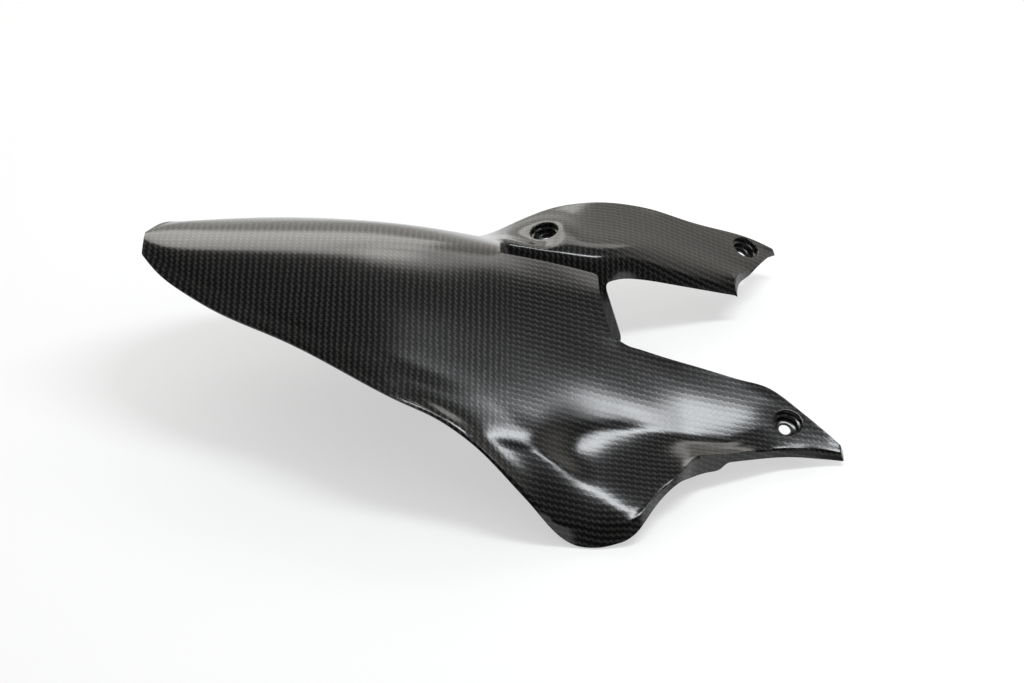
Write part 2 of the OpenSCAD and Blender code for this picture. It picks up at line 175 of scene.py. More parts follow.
GUIDES = {name: np.array(value, float) for name, value in dict(
    far_edge=far_edge, far_middle=far_middle, ridge=ridge, wall_foot=wall_foot, skirt_foot=skirt_foot,
    cut_line=cut_line, crown_roll=crown_roll, shoulder=shoulder, flank=flank, crease=crease,
    crease_foot=crease_foot, channel=channel, flap_ridge=flap_ridge, lip_crease=lip_crease,
    near_edge=near_edge).items()}
REAR = ["far_edge", "far_middle", "ridge", "cut_line", "crown_roll", "shoulder", "flank", "crease",
    "crease_foot", "channel", "flap_ridge", "lip_crease"]
FAR = ["far_edge", "far_middle", "ridge", "wall_foot", "skirt_foot"]
NEAR = REAR[3:]
ARM_FAR = FAR[:4]
ARM_NEAR = REAR[5:]

# Stations along the length; over the first ones past the slot the crown goes over into the far arm
tail_x = [-242, -240.5, -238, -234.5, -230, -225, -219, -212, -203, -193, -182, -170, -158, -146, -134,
    -122, -110, -98, -87, -76, -65, -55, -46, -38, -31, -24, -18, -12.5]
near_arm_x = [67.5, 71, 75, 79, 83, 88, 93, 99, 106, 110, 113, 117, 123, 128, 133, 137, 141, 148, 155,
    162, 170, 179, 188, 197, 205, 210, 213]
far_arm_x = [69, 75, 82, 90, 98, 107, 116, 125, 134, 142, 149, 156]
fold_x = [0, 1, 2.2, 4]
fold_blend = [0, 0.15, 0.6, 1]
TONGUE_CELLS = 12
SLOT_COL = len(tail_x)
TONGUE_COL = SLOT_COL + TONGUE_CELLS
NEAR_END = TONGUE_COL + len(near_arm_x)
FAR_END = TONGUE_COL + len(far_arm_x)
COLUMNS = NEAR_END + 1

# Cells across the width from each guide to the next, and the rows that they lead to
rear_cells = [5, 5, 10, 4, 4, 4, 4, 3, 3, 4, 3]
far_cells = [5, 5, 4, 5]
arm_far_cells = far_cells[:3]
near_cells = rear_cells[3:]
arm_near_cells = rear_cells[5:]
RIDGE_ROW = 11
FOOT_ROW = 15
SKIRT_ROW = 20
CUT_ROW = 21
SHOULDER_ROW = CUT_ROW + rear_cells[3] + rear_cells[4]
LIP_ROW = 1 + sum(rear_cells)
LAST_ROW = LIP_ROW + 1


def smooth(v):
    s = min(max(v, 0.0), 1.0)
    return s * s * (3 - 2 * s)


def slopes(g, s):
    """Slopes of a curve at its points g, which lie at the places s along it."""
    m = np.empty_like(g)
    d = (g[1:] - g[:-1]) / (s[1:] - s[:-1])[:, None]
    m[0], m[-1] = d[0], d[-1]
    for i in range(1, len(g) - 1):
        h0, h1 = s[i] - s[i - 1], s[i + 1] - s[i]
        m[i] = (d[i - 1] * h1 + d[i] * h0) / (h0 + h1)
    return m


def hermite(g, m, s, i, t):
    """The point of the curve a share t of the way from its point i to the next one."""
    h = s[i + 1] - s[i]
    u, v = t * t, t ** 3
    return (g[i] * (2 * v - 3 * u + 1) + m[i] * h * (v - 2 * u + t)
        + g[i + 1] * (3 * u - 2 * v) + m[i + 1] * h * (v - u))


GUIDE_SLOPES = {name: slopes(g, g[:, 0]) for name, g in GUIDES.items()}


def on_guide(name, x):
    g = GUIDES[name]
    c = min(max(x, g[0, 0]), g[-1, 0])
    i = min(max(int(np.searchsorted(g[:, 0], c, side="right")) - 1, 0), len(g) - 2)
    return hermite(g, GUIDE_SLOPES[name], g[:, 0], i, (c - g[i, 0]) / (g[i + 1, 0] - g[i, 0]))


def section(names, cells, x):
    """A curve across the named guides at x, with the given number of cells from each to the next."""
    q = np.array([on_guide(name, x) for name in names])
    s = np.concatenate([[0], np.cumsum(np.linalg.norm(q[1:] - q[:-1], axis=1))])
    m = slopes(q, s)
    points = [hermite(q, m, s, k, j / n) for k, n in enumerate(cells) for j in range(n)]
    return np.array(points + [q[-1]])


def pick(points, row, first):
    """The point for a row, in a section that starts with row first; rows outside it take its ends."""
    return points[min(max(row - first, 0), len(points) - 1)]


def far_rim(p):
    k = smooth((p[0] - FAR_RIM_X) / FAR_RIM_BLEND)
    out = TYRE_RIM_DRAFT + (RIM_DRAFT - TYRE_RIM_DRAFT) * k
    return p + np.array([0, out, -TYRE_RIM_H * (1 - k) - RIM_H * k])


def near_rim(p):
    k = smooth((p[0] - NEAR_RIM_X) / NEAR_RIM_BLEND)
    rim = p + np.array([0, -RIM_DRAFT, -RIM_H])
    return rim if k == 1 else on_guide("near_edge", p[0]) * (1 - k) + rim * k


def seated(p):
    """The point moved up or down onto the plane of a bolt seat, where one is near."""
    p = p.copy()
    for centre, sx, sy in SEATS:
        reach = math.hypot(p[0] - centre[0], p[1] - centre[1])
        w = 1 - smooth((reach - PAD_R - PAD_MARGIN) / PAD_BLEND)
        p[2] = p[2] * (1 - w) + (centre[2] + (p[0] - centre[0]) * sx + (p[1] - centre[1]) * sy) * w
    return p


def far_station(k):
    last = len(fold_x) - 1
    if k <= last:
        return SLOT_X + fold_x[k]
    rest = SKIRT_FRONT_X - SLOT_X - fold_x[last]
    return SLOT_X + fold_x[last] + rest * (k - last) / (TONGUE_CELLS - last)


def far_rows(k):
    """From the far edge over the far arm's base and down to the skirt's foot, at a station past the slot."""
    x = far_station(k)
    base = section(FAR, far_cells, x)
    crown = section(REAR, rear_cells, SLOT_X)
    front = max(0, (x - SKIRT_LEAN_X) / (SKIRT_FRONT_X - SKIRT_LEAN_X))
    rows = []
    for r in range(1, SKIRT_ROW + 1):
        f = 1 if r <= RIDGE_ROW or k >= len(fold_blend) else fold_blend[k]
        down = max(0, (r - FOOT_ROW) / (SKIRT_ROW - FOOT_ROW))
        lean = SKIRT_LEAN * down * front * front
        carried_on = pick(crown, r, 1) + [x - SLOT_X, 0, 0]
        rows.append(pick(base, r, 1) * f + carried_on * (1 - f) + [lean, 0, 0])
    return rows


def tongue_shift(r, k):
    """How far a row of the tongue reaches past its station; the tongue's end is rounded to the far side."""
    down = (r - CUT_ROW) / (SHOULDER_ROW - CUT_ROW)
    v = down ** TONGUE_BEND if down <= 1 else 1 - smooth((down - 1) * TONGUE_DECLINE)
    w = max(0, (k / TONGUE_CELLS - TONGUE_STRAIGHT) / (1 - TONGUE_STRAIGHT))
    return TONGUE_LEAN * v * w * w


def near_row(r, k):
    x = SLOT_X + (TONGUE_X - SLOT_X) * k / TONGUE_CELLS + tongue_shift(r, k)
    return pick(section(NEAR, near_cells, x), r, CUT_ROW)


def arm_far_row(r, k):
    if k >= len(far_arm_x) or r > FOOT_ROW:
        return None
    x = far_arm_x[k]
    reach = (x - SKIRT_FRONT_X) / (far_arm_x[-1] - SKIRT_FRONT_X)
    shift = ARM_LEAN * max(0, (RIDGE_ROW - r) / (RIDGE_ROW - 1)) * reach * reach
    return pick(section(ARM_FAR, arm_far_cells, x + shift), r, 1)


def make_surface():
    """The outer surface as columns of rows; a place that holds no laminate is None."""
    columns = []
    for x in tail_x + [SLOT_X]:
        columns.append(list(section(REAR, rear_cells, x)))
    for k in range(1, TONGUE_CELLS + 1):
        columns.append(far_rows(k) + [near_row(r, k) for r in range(CUT_ROW, LIP_ROW + 1)])
    for k, x in enumerate(near_arm_x):
        far = [arm_far_row(r, k) for r in range(1, SHOULDER_ROW)]
        columns.append(far + list(section(ARM_NEAR, arm_near_cells, x)))
    columns = [[None if p is None else seated(np.asarray(p, float)) for p in c] for c in columns]
    columns = [[None if c[0] is None else far_rim(c[0])] + c + [near_rim(c[-1])] for c in columns]
    columns.append([None] * (LAST_ROW + 1))
    for r in range(0, FOOT_ROW + 1):
        drop = 0 if r == 0 else RIM_H * (1 - max(0, r - RIDGE_ROW) / (FOOT_ROW - RIDGE_ROW))
        columns[FAR_END + 1][r] = columns[FAR_END][r] + FAR_END_OUT * RIM_DRAFT - [0, 0, drop]
    for r in range(SHOULDER_ROW, LAST_ROW + 1):
        drop = 0 if r == LAST_ROW else RIM_H
        columns[NEAR_END + 1][r] = columns[NEAR_END][r] + np.array([RIM_DRAFT, 0, 0]) - [0, 0, drop]
    return columns


def laminate(i, r):
    """Whether the cell between columns i and i + 1 and rows r and r + 1 holds laminate."""
    if not (0 <= i < COLUMNS and 0 <= r < LAST_ROW):
        return False
    if i < SLOT_COL:
        return True
    if i < TONGUE_COL:
        return r != SKIRT_ROW
    return (r < FOOT_ROW and i <= FAR_END) or (r >= SHOULDER_ROW and i <= NEAR_END)


grid = make_surface()

# Fairing
FOLD_ROWS = {1, LIP_ROW}
GLIDE_FIRST = CUT_ROW + 2
GLIDE_LAST = LIP_ROW - 10
GLIDE_FADE = 3
GLIDE_END_COL = NEAR_END - 3


def neighbours(i, r):
    """The four neighbours of a grid point inside the laminate, or nothing at an edge of it."""
    if not (laminate(i, r) and laminate(i - 1, r) and laminate(i, r - 1) and laminate(i - 1, r - 1)):
        return None
    return [(i - 1, r), (i + 1, r), (i, r - 1), (i, r + 1)]


def held(i, r):
    """Whether fairing leaves a point alone: those at the rims' folds, the arms' ends and the slot's end."""
    if r in FOLD_ROWS or i in (FAR_END + 1, NEAR_END + 1):
        return True
    if (i == FAR_END and r <= FOOT_ROW) or (i == NEAR_END and r >= SHOULDER_ROW):
        return True
    return SLOT_COL <= i <= SLOT_COL + len(fold_x) and RIDGE_ROW < r <= CUT_ROW


def between(p, a, b):
    """The point on the line from a to b that divides it as the distances from p do."""
    la, lb = np.linalg.norm(a - p), np.linalg.norm(b - p)
    return (a * lb + b * la) / (la + lb)


def fair(rounds, share):
    """Draw each free point towards the middle of its four neighbours."""
    for _ in range(rounds):
        moved = {}
        for i in range(1, COLUMNS):
            for r in range(1, LAST_ROW):
                near = neighbours(i, r)
                if near is None or held(i, r):
                    continue
                a, b, c, d = [grid[x][y] for x, y in near]
                p = grid[i][r]
                moved[i, r] = p + ((between(p, a, b) + between(p, c, d)) / 2 - p) * share
        for (i, r), p in moved.items():
            grid[i][r] = p


def glide(rounds, share):
    """Fair along the length only, from the crown to the crease, so that long highlights run smoothly."""
    for _ in range(rounds):
        moved = {}
        for i in range(1, GLIDE_END_COL):
            for r in range(GLIDE_FIRST, GLIDE_LAST):
                if neighbours(i, r) is None:
                    continue
                p = grid[i][r]
                fade = min(1, (GLIDE_LAST - r) / GLIDE_FADE)
                moved[i, r] = p + (between(p, grid[i - 1][r], grid[i + 1][r]) - p) * share * fade
        for (i, r), p in moved.items():
            grid[i][r] = p


def seat_again():
    """Put the bolt seats back in their planes after the fairing."""
    for column in grid:
        for r in range(1, LIP_ROW + 1):
            if column[r] is not None:
                column[r] = seated(column[r])


fair(rounds=6, share=0.5)
glide(rounds=8, share=0.5)
seat_again()

# Cloth coordinates, in millimetres of cloth: u along the length, v from the cut line to the far side
WALK_ROW = LIP_ROW - 12         # u is measured along this row, beside the crease
SHOULDER_STRETCH = 1.12         # cloth to a millimetre of the pose, where it is laid out flat on an arm
FAR_STRETCH_U = 1.06
FAR_STRETCH_V = 1.05
FAR_RIDGE_Y = 52.0              # where the ridge stands at the slot


def walk():
    """u of each column."""
    places = []
    walked = 0.0
    for i in range(COLUMNS + 1):
        if i > 0 and grid[i][WALK_ROW] is not None and grid[i - 1][WALK_ROW] is not None:
            step = grid[i][WALK_ROW] - grid[i - 1][WALK_ROW]
            walked += math.hypot(step[0], step[2])
        places.append(walked)
    return places


def near_cloth(cloth, u_of):
    """From the cut line, or past the tongue from the near arm's inner edge, down to the near rim."""
    for i in range(COLUMNS + 1):
        first, v = CUT_ROW, 0.0
        if i > TONGUE_COL:
            first, v = SHOULDER_ROW, cloth[TONGUE_COL, SHOULDER_ROW][1]
            if grid[i][SHOULDER_ROW] is not None:
                # the arm's inner edge leaves the crown's line; the cloth runs straight on across it
                v += (grid[i][SHOULDER_ROW][1] - grid[TONGUE_COL][SHOULDER_ROW][1]) * SHOULDER_STRETCH
        for r in range(first, LAST_ROW + 1):
            if grid[i][r] is None:
                continue
            if r > first:
                v -= np.linalg.norm(grid[i][r][1:] - grid[i][r - 1][1:])
            cloth[i, r] = (u_of[i], v)


def far_cloth(cloth, u_of):
    """From the cut line to the far rim of the tyre cover."""
    for i in range(SLOT_COL + 1):
        v = 0.0
        for r in range(CUT_ROW - 1, -1, -1):
            v += np.linalg.norm(grid[i][r][1:] - grid[i][r + 1][1:])
            cloth[i, r] = (u_of[i], v)


def far_arm_cloth(cloth):
    """Flat over the far arm, and from its ridge down the wall and the skirt."""
    base_v = cloth[SLOT_COL, RIDGE_ROW][1]
    for i in range(SLOT_COL + 1, FAR_END + 2):
        for r in range(RIDGE_ROW, -1, -1):
            if grid[i][r] is not None:
                p = grid[i][r]
                cloth[i, r] = (p[0] * FAR_STRETCH_U, base_v + (p[1] - FAR_RIDGE_Y) * FAR_STRETCH_V)
        v = cloth[i, RIDGE_ROW][1]
        for r in range(RIDGE_ROW + 1, SKIRT_ROW + 1):
            if grid[i][r] is not None:
                v -= np.linalg.norm(grid[i][r] - grid[i][r - 1])
                cloth[i, r] = (grid[i][r][0] * FAR_STRETCH_U, v)


cloth = {}
u_of = walk()
near_cloth(cloth, u_of)
far_cloth(cloth, u_of)
far_arm_cloth(cloth)

# Mesh of the moulded shell
RIM_CREASE = 0.55
RIDGE_CREASE = 0.6
LIP_CREASE_COL = SLOT_COL - 6       # the near rim, the far rim and the ridge are creased past these
FAR_CREASE_COL = SLOT_COL - 2
RIDGE_CREASE_COL = SLOT_COL + 3
SUBDIVISIONS = 2
FLAT_R = 0.0145         # in metres: the pad round each recess is made plane inside this radius,
FLAT_FADE = 0.003       # with a fade over this width inside it,
FLAT_REACH = 0.006      # for points no further than this from its plane


def add_object(name, mesh):
    obj = bpy.data.objects.new(name, mesh)
    bpy.context.scene.collection.objects.link(obj)
    return obj


def apply_modifiers(obj):
    depsgraph = bpy.context.evaluated_depsgraph_get()
    mesh = bpy.data.meshes.new_from_object(obj.evaluated_get(depsgraph))
    old = obj.data
    obj.modifiers.clear()
    obj.data = mesh
    bpy.data.meshes.remove(old)


def crease_of(a, b):
    """How sharp the subdivision keeps the edge between two grid points, each a column and a row."""
    first, last = min(a[0], b[0]), max(a[0], b[0])
    if a[1] == b[1] == LIP_ROW and last > LIP_CREASE_COL:
        return RIM_CREASE
    if a[1] == b[1] == 1 and last > FAR_CREASE_COL:
        return RIM_CREASE
    if first == last and (first == NEAR_END or (first == FAR_END and a[1] <= FOOT_ROW)):
        return RIM_CREASE
    if a[1] == b[1] == RIDGE_ROW and first > RIDGE_CREASE_COL:
        return RIDGE_CREASE
    return 0.0


def mesh_of_grid():
    index = {}
    points = []
    faces = []
    uvs = []
    for i in range(COLUMNS):
        for r in range(LAST_ROW):
            if not laminate(i, r):
                continue
            corners = [(i, r), (i, r + 1), (i + 1, r + 1), (i + 1, r)]
            face = []
            for c in corners:
                if c not in index:
                    index[c] = len(points)
                    points.append(to_row(grid[c[0]][c[1]]))
                face.append(index[c])
            faces.append(face)
            uvs.extend([np.array(cloth[c]) / CELL for c in corners])
    mesh = bpy.data.meshes.new("shell")
    mesh.from_pydata([tuple(p) for p in points], [], faces)
    layer = mesh.uv_layers.new(name="cloth")
    layer.data.foreach_set("uv", np.array(uvs, float).ravel())
    where = {v: k for k, v in index.items()}
    creases = mesh.attributes.new("crease_edge", "FLOAT", "EDGE")
    values = [crease_of(where[e.vertices[0]], where[e.vertices[1]]) for e in mesh.edges]
    creases.data.foreach_set("value", values)
    mesh.validate()
    return mesh


def flatten_pads(mesh):
    """The pads round the recesses are plane, so that the turned recesses meet them without a step."""
    co = np.empty(len(mesh.vertices) * 3)
    mesh.vertices.foreach_get("co", co)
    co = co.reshape(-1, 3)
    for seat in SEATS:
        n = seat_normal(seat)
        rel = co - to_row(seat[0])
        height = rel @ n
        reach = np.linalg.norm(rel - height[:, None] * n, axis=1)
        w = np.clip((FLAT_R - reach) / FLAT_FADE, 0, 1) * (np.abs(height) < FLAT_REACH)
        co -= (height * w)[:, None] * n
    mesh.vertices.foreach_set("co", co.ravel())


def make_shell():
    obj = add_object("carbon_shell", mesh_of_grid())
    sub = obj.modifiers.new("sub", "SUBSURF")
    sub.levels = sub.render_levels = SUBDIVISIONS
    sub.boundary_smooth = "ALL"
    sub.uv_smooth = "PRESERVE_BOUNDARIES"
    apply_modifiers(obj)
    flatten_pads(obj.data)
    solid = obj.modifiers.new("solid", "SOLIDIFY")
    solid.thickness = SHELL_T / 1000
    solid.offset = -1
    solid.use_even_offset = True
    solid.use_rim = True
    apply_modifiers(obj)
    return obj


shell = make_shell()

# Recesses for the bolts
SPOKES = 96
CUTTER_REACH = 6.0      # of the cutting discs, over and under the pad
FIT_R = 0.0125          # in metres: the cloth is fitted to the top of the pad inside this radius,
FIT_REACH = 0.0004      # at points no further than this from its plane


def seat_axes(seat):
    n = seat_normal(seat)
    x = unit(np.cross([0, 1, 0], n))
    return x, np.cross(n, x), n


def profile():
    """Radius and height of the recess from the pad inwards, down to the bolt hole, and back underneath."""
    lip, edge, edge_mid = 0.9, 0.7, 0.7 * 0.3
    fillet, fillet_mid = 1.2, 0.35
    hole_edge, under_edge, under_step, under_fillet = 0.3, 0.2, 0.4, 0.8
    r0, r1, r2 = RECESS_R, RECESS_R - LEDGE_W, BOLT_R
    ledge, base, under = -LEDGE_DEPTH, -RECESS_DEPTH, -RECESS_DEPTH - SHELL_T
    out0, out1 = r0 + SHELL_T, r1 + SHELL_T
    top = [(INSERT_R, 0), (r0 + lip, 0)]
    for a in (22.5, 45, 67.5, 90):
        top.append((r0 + lip - lip * math.sin(math.radians(a)), -lip + lip * math.cos(math.radians(a))))
    step = [(r0, ledge + edge), (r0 - edge_mid, ledge + edge_mid), (r0 - edge, ledge),
        (r1 + edge, ledge), (r1 + edge_mid, ledge - edge_mid), (r1, ledge - edge)]
    bottom = [(r1, base + fillet), (r1 - fillet_mid, base + fillet_mid), (r1 - fillet, base),
        (r2 + hole_edge, base), (r2, base - hole_edge)]
    back = [(r2, under + under_edge), (r2 + under_edge, under),
        (out1 - under_fillet, under), (out1, under + under_fillet),
        (out1, ledge - SHELL_T), (out0, ledge - SHELL_T + under_step), (out0, -SHELL_T),
        (INSERT_R, -SHELL_T)]
    return top + step + bottom + back


def cloth_map(obj, seat):
    """Cloth coordinates as an affine function of the place on the pad, fitted to the shell round it."""
    x, y, n = seat_axes(seat)
    centre = to_row(seat[0])
    mesh = obj.data
    layer = mesh.uv_layers["cloth"].data
    rows, uv = [], []
    for loop in mesh.loops:
        rel = np.array(mesh.vertices[loop.vertex_index].co) - centre
        if abs(rel @ n) < FIT_REACH and np.linalg.norm(rel) < FIT_R:
            rows.append([rel @ x, rel @ y, 1])
            uv.append(layer[loop.index].uv[:])
    fit, *_ = np.linalg.lstsq(np.array(rows), np.array(uv), rcond=None)
    return fit


def ring(bm, seat, radius, height):
    """Vertices round a seat's axis, at a radius from it and a height over the pad in millimetres."""
    x, y, n = seat_axes(seat)
    centre = to_row(seat[0])
    verts = []
    for a in np.linspace(0, 2 * math.pi, SPOKES, endpoint=False):
        out = x * math.cos(a) + y * math.sin(a)
        verts.append(bm.verts.new(centre + out * radius / 1000 + n * height / 1000))
    return verts


def mesh_of(bm, name):
    bmesh.ops.recalc_face_normals(bm, faces=bm.faces)
    mesh = bpy.data.meshes.new(name)
    bm.to_mesh(mesh)
    bm.free()
    return mesh


def make_cutter(seat):
    bm = bmesh.new()
    top, bottom = ring(bm, seat, INSERT_R, CUTTER_REACH), ring(bm, seat, INSERT_R, -CUTTER_REACH)
    for k in range(SPOKES):
        bm.faces.new([top[k], bottom[k], bottom[k - 1], top[k - 1]])
    bm.faces.new(top)
    bm.faces.new(bottom[::-1])
    return add_object("cutter", mesh_of(bm, "cutter"))


def make_recess(seat, fit, name):
    bm = bmesh.new()
    layer = bm.loops.layers.uv.new("cloth")
    pts = profile()
    rings = [ring(bm, seat, radius, height) for radius, height in pts]
    rings.append(rings[0])
    # the cloth drapes into the recess: its coordinates go on by the length of the profile
    flat = [pts[0][0]]
    for a, b in zip(pts, pts[1:]):
        flat.append(flat[-1] - math.hypot(b[0] - a[0], b[1] - a[1]))
    flat.append(flat[0])
    for k in range(len(rings) - 1):
        for j in range(SPOKES):
            corners = [(k, j), (k, j - 1), (k + 1, j - 1), (k + 1, j)]
            face = bm.faces.new([rings[row][spoke] for row, spoke in corners])
            for loop, (row, spoke) in zip(face.loops, corners):
                a = 2 * math.pi * (spoke % SPOKES) / SPOKES
                reach = flat[row] / 1000
                loop[layer].uv = np.array([reach * math.cos(a), reach * math.sin(a), 1]) @ fit
    return add_object(name, mesh_of(bm, name))


def cut_holes(obj):
    """Cut a round hole for each recess; where the exact solver gives nothing back, the fast one does it."""
    cutters = [make_cutter(seat) for seat in SEATS]
    whole = obj.data.copy()
    for solver in ("EXACT", "FAST"):
        for cutter in cutters:
            cut = obj.modifiers.new("cut", "BOOLEAN")
            cut.operation = "DIFFERENCE"
            cut.solver = solver
            cut.object = cutter
        apply_modifiers(obj)
        if len(obj.data.vertices) > len(whole.vertices) // 2:
            break
        obj.data = whole.copy()
    bpy.data.meshes.remove(whole)
    for cutter in cutters:
        bpy.data.objects.remove(cutter)


fits = [cloth_map(shell, seat) for seat in SEATS]
cut_holes(shell)
recess_names = ["near_arm_recess", "far_arm_rear_recess", "far_arm_front_recess"]
recesses = [make_recess(seat, fit, name) for seat, fit, name in zip(SEATS, fits, recess_names)]

# Materials
CLOTH_RELIEF = 0.0003       # height of the tows in the cloth and in the lacquer over it, in metres
LACQUER_RELIEF = 0.00008
DIAGONAL = 0.7071
LOZENGE_POWER = 1.6         # how square a tow's outline is, and where its height begins and is full
LOZENGE_RIM = 1.35
LOZENGE_CORE = 0.25
WANDER_U = 0.35             # how far the tows wander, in repeats
WANDER_V = -0.25
ARMS_U = (58.0, 66.0)       # repeats over which the tyre cover's pattern goes over into the arms'
ARMS_V = (12.0, 15.0)
CHAIN_HEIGHT = 0.62         # height of the chained tows next to that of the others
METALLIC_TOW = 0.3
SHARP_ANGLE = math.radians(42)


def nodes_of(material):
    material.use_nodes = True
    tree = material.node_tree
    tree.nodes.clear()
    return tree


class Graph:
    """Short names for the nodes that the materials use."""

    def __init__(self, tree):
        self.tree = tree

    def node(self, kind, **values):
        n = self.tree.nodes.new(kind)
        for key, value in values.items():
            setattr(n, key, value)
        return n

    def link(self, a, b):
        self.tree.links.new(a, b)

    def put(self, socket, value):
        if isinstance(value, (int, float, tuple)):
            socket.default_value = value
        else:
            self.link(value, socket)

    def math(self, op, a, b=0.0, c=0.0):
        n = self.node("ShaderNodeMath", operation=op)
        for socket, value in zip(n.inputs, (a, b, c)):
            self.put(socket, value)
        return n.outputs[0]

    def ramp(self, value, lo, hi, out_lo=0.0, out_hi=1.0):
        n = self.node("ShaderNodeMapRange", interpolation_type="SMOOTHSTEP")
        for socket, v in zip(n.inputs, (value, lo, hi, out_lo, out_hi)):
            self.put(socket, v)
        return n.outputs[0]

    def mix(self, factor, a, b):
        n = self.node("ShaderNodeMix", data_type="RGBA")
        self.put(n.inputs[0], factor)
        self.put(n.inputs[6], a)
        self.put(n.inputs[7], b)
        return n.outputs[2]

    def noise(self, vector, scale, detail=2.0):
        n = self.node("ShaderNodeTexNoise")
        self.link(vector, n.inputs["Vector"])
        n.inputs["Scale"].default_value = scale
        n.inputs["Detail"].default_value = detail
        return n.outputs["Fac"]


    def scale(self, vector, factor):
        n = self.node("ShaderNodeVectorMath", operation="SCALE")
        self.link(vector, n.inputs[0])
        self.link(factor, n.inputs["Scale"])
        return n.outputs[0]

    def bump(self, height, strength, distance):
        n = self.node("ShaderNodeBump")
        n.inputs["Strength"].default_value = strength
        n.inputs["Distance"].default_value = distance
        self.link(height, n.inputs["Height"])
        return n.outputs[0]

    def split(self, vector):
        n = self.node("ShaderNodeSeparateXYZ")
        self.link(vector, n.inputs[0])
        return n.outputs


def lozenge(g, u, v, slant, long_half, short_half):
    """A soft slanted lozenge in each repeat: 1 in its middle, 0 outside."""
    a = g.math("ADD", u, g.math("MULTIPLY", v, slant))
    b = g.math("SUBTRACT", g.math("MULTIPLY", u, slant), v)
    a = g.math("ABSOLUTE", g.math("MULTIPLY", a, DIAGONAL / short_half))
    b = g.math("ABSOLUTE", g.math("MULTIPLY", b, DIAGONAL / long_half))
    reach = g.math("ADD", g.math("POWER", a, LOZENGE_POWER), g.math("POWER", b, LOZENGE_POWER))
    return g.ramp(reach, LOZENGE_RIM, LOZENGE_CORE)


def tow(g, u, v, offset, slant, long_half, short_half):
    """One tow in each repeat of the cloth, moved by an offset in repeats."""
    fu = g.math("SUBTRACT", g.math("FRACT", g.math("ADD", u, offset[0])), 0.5)
    fv = g.math("SUBTRACT", g.math("FRACT", g.math("ADD", v, offset[1])), 0.5)
    return lozenge(g, fu, fv, slant, long_half, short_half)


def all_tows(g, uv):
    """Height of the tows over the cloth, from 0 to about 1."""
    # they wander a little
    wander = g.noise(uv, 0.35, 1.0)
    flat = g.split(uv)
    u = g.math("ADD", flat[0], g.math("MULTIPLY", wander, WANDER_U))
    v = g.math("ADD", flat[1], g.math("MULTIPLY", wander, WANDER_V))
    one = tow(g, u, v, (0.0, 0.0), 1.0, 0.40, 0.22)
    across = tow(g, u, v, (0.08, 0.5), -1.0, 0.34, 0.19)
    along = tow(g, u, v, (0.5, 0.05), -1.0, 0.36, 0.19)
    # the chains of tows run across the tyre cover and along the arms
    arms = g.math("MAXIMUM", g.ramp(u, *ARMS_U), g.ramp(v, *ARMS_V))
    across = g.math("MULTIPLY", across, g.math("SUBTRACT", 1.0, arms))
    along = g.math("MULTIPLY", along, arms)
    tows = g.math("MAXIMUM", one, g.math("MULTIPLY", g.math("MAXIMUM", across, along), CHAIN_HEIGHT))
    uneven = g.ramp(g.noise(uv, 0.9, 2.0), 0.3, 0.7, 0.75, 1.1)
    return g.math("MULTIPLY", tows, uneven)


def cloth_colour(g, uv, tows):
    """Near black between the tows and dark grey on them, uneven by the fibres and in faint clouds."""
    stretch = g.node("ShaderNodeMapping")
    stretch.inputs["Scale"].default_value = (3.0, 26.0, 1.0)
    g.link(uv, stretch.inputs[0])
    fibres = g.noise(stretch.outputs[0], 1.0)
    place = g.node("ShaderNodeTexCoord").outputs["Object"]
    tone = g.mix(tows, (0.002, 0.002, 0.002, 1), (0.036, 0.035, 0.032, 1))
    tone = g.scale(tone, g.ramp(fibres, 0.35, 0.65, 0.82, 1.12))
    return g.scale(tone, g.ramp(g.noise(place, 9.0, 2.0), 0.3, 0.7, 0.9, 1.1))


def carbon():
    """Lacquer over woven carbon cloth."""
    material = bpy.data.materials.new("carbon_weave")
    g = Graph(nodes_of(material))
    uv = g.node("ShaderNodeUVMap", uv_map="cloth").outputs[0]
    tows = all_tows(g, uv)
    bsdf = g.node("ShaderNodeBsdfPrincipled")
    g.link(cloth_colour(g, uv, tows), bsdf.inputs["Base Color"])
    g.link(g.math("MULTIPLY", tows, METALLIC_TOW), bsdf.inputs["Metallic"])
    g.link(g.ramp(tows, 0.0, 1.0, 0.55, 0.36), bsdf.inputs["Roughness"])
    bsdf.inputs["IOR"].default_value = 1.5
    bsdf.inputs["Specular IOR Level"].default_value = 0.06
    bsdf.inputs["Coat Weight"].default_value = 1.0
    bsdf.inputs["Coat Roughness"].default_value = 0.16
    bsdf.inputs["Coat IOR"].default_value = 1.5
    # the lacquer follows the cloth only slightly
    g.link(g.bump(tows, 0.5, CLOTH_RELIEF), bsdf.inputs["Normal"])
    g.link(g.bump(tows, 0.2, LACQUER_RELIEF), bsdf.inputs["Coat Normal"])
    out = g.node("ShaderNodeOutputMaterial")
    g.link(bsdf.outputs[0], out.inputs[0])
    return material


weave = carbon()
for piece in [shell] + recesses:
    piece.data.materials.clear()
    piece.data.materials.append(weave)
    piece.data.shade_smooth()
    piece.data.set_sharp_from_angle(angle=SHARP_ANGLE)
    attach(piece, "root")
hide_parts("rear_fender")

# Floor, light and camera, in metres
FLOOR_GAP = 0.0002
FLOOR_HALF = 3.0
SELF_LIT = 0.5
ELEVATION = math.radians(35)
DISTANCE = 1.620
AIM = 0.3                   # a lamp faces the point this share of its own X from the middle
COOL = (0.94, 0.97, 1.0)
WARM = (1.0, 0.98, 0.95)
middle = to_row([0, 0, 35])
# Name, place from the middle, width, height, watts, colour
LAMPS = [("overhead", (0.38, 0.035, 1.10), 0.76, 0.17, 6.2, COOL),
    ("overhead_edge", (0.38, 0.035, 1.11), 0.82, 0.23, 1.5, COOL),
    ("behind_left", (-0.28, 1.40, 0.92), 0.86, 0.76, 5.6, WARM),
    ("behind_right", (0.50, 1.41, 1.42), 1.30, 0.40, 3.9, WARM)]


